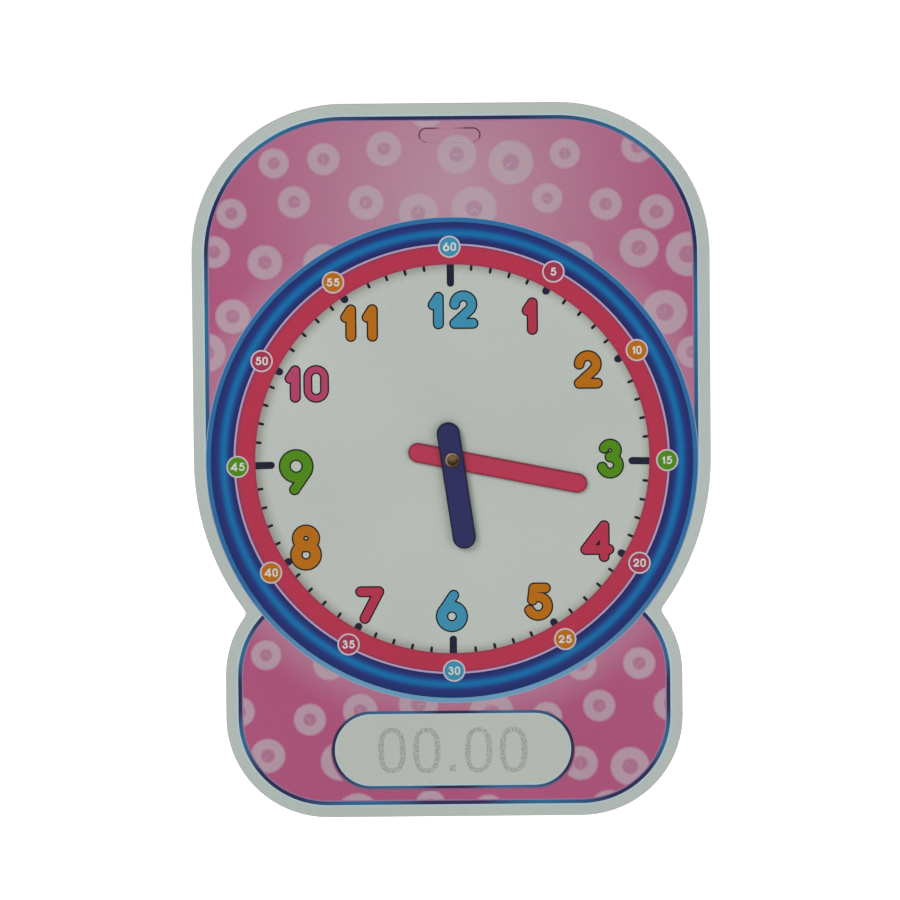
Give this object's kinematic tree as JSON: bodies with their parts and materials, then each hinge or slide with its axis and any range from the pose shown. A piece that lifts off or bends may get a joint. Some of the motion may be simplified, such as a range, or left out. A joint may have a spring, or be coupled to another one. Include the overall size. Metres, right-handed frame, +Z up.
{
  "type": "teaching clock",
  "caption": "Flat die-cut laminated card clock with a printed dial, two hand-turned strip hands on a rivet, a push-out hang slot and a wipe-clean time field.",
  "frame": {"origin": "middle of the hang slot, on the card's back", "axes": "+Z up, from the foot to the 12 on the dial; +X to the right as the dial is read; +Y from the printed face to the back, so the face looks along -Y"},
  "size_m": [0.208, 0.0059, 0.2904],
  "materials": {
    "greyboard": "pressed grey pulp board, bare at the cut edges",
    "printed_paper": "coated paper, printed in colour",
    "gloss_film": "clear gloss laminating film, wipes clean",
    "back_paper": "plain uncoated white liner",
    "crimson_board": "solid card dyed crimson, bare at the cut edges",
    "navy_board": "solid card dyed navy, bare at the cut edges",
    "crimson_paper": "coated paper, printed solid crimson",
    "navy_paper": "coated paper, printed solid navy",
    "rivet_brass": "bright rolled brass"
  },
  "bodies": {
    "card": {"core_board": "greyboard", "face_sheet": "printed_paper", "face_film": "gloss_film", "back_sheet": "back_paper", "rivet": "rivet_brass"},
    "hang_tab": {"hang_tab_core": "greyboard", "hang_tab_face": "printed_paper", "hang_tab_film": "gloss_film", "hang_tab_back": "back_paper"},
    "minute_hand": {"minute_hand_core": "crimson_board", "minute_hand_face": "crimson_paper", "minute_hand_film": "gloss_film"},
    "hour_hand": {"hour_hand_core": "navy_board", "hour_hand_face": "navy_paper", "hour_hand_film": "gloss_film"}
  },
  "joints": [
    {"name": "minute_hand_turn", "type": "hinge", "parent": "card", "child": "minute_hand", "pos_m": [0, 0, -0.13175], "axis": [0, 1, 0], "continuous": true},
    {"name": "hour_hand_turn", "type": "hinge", "parent": "card", "child": "hour_hand", "pos_m": [0, 0, -0.13175], "axis": [0, 1, 0], "continuous": true},
    {"name": "hang_tab_fold", "type": "hinge", "parent": "card", "child": "hang_tab", "pos_m": [0, 0, -0.0031], "axis": [-1, 0, 0], "range_deg": [0, 170]}
  ]
}
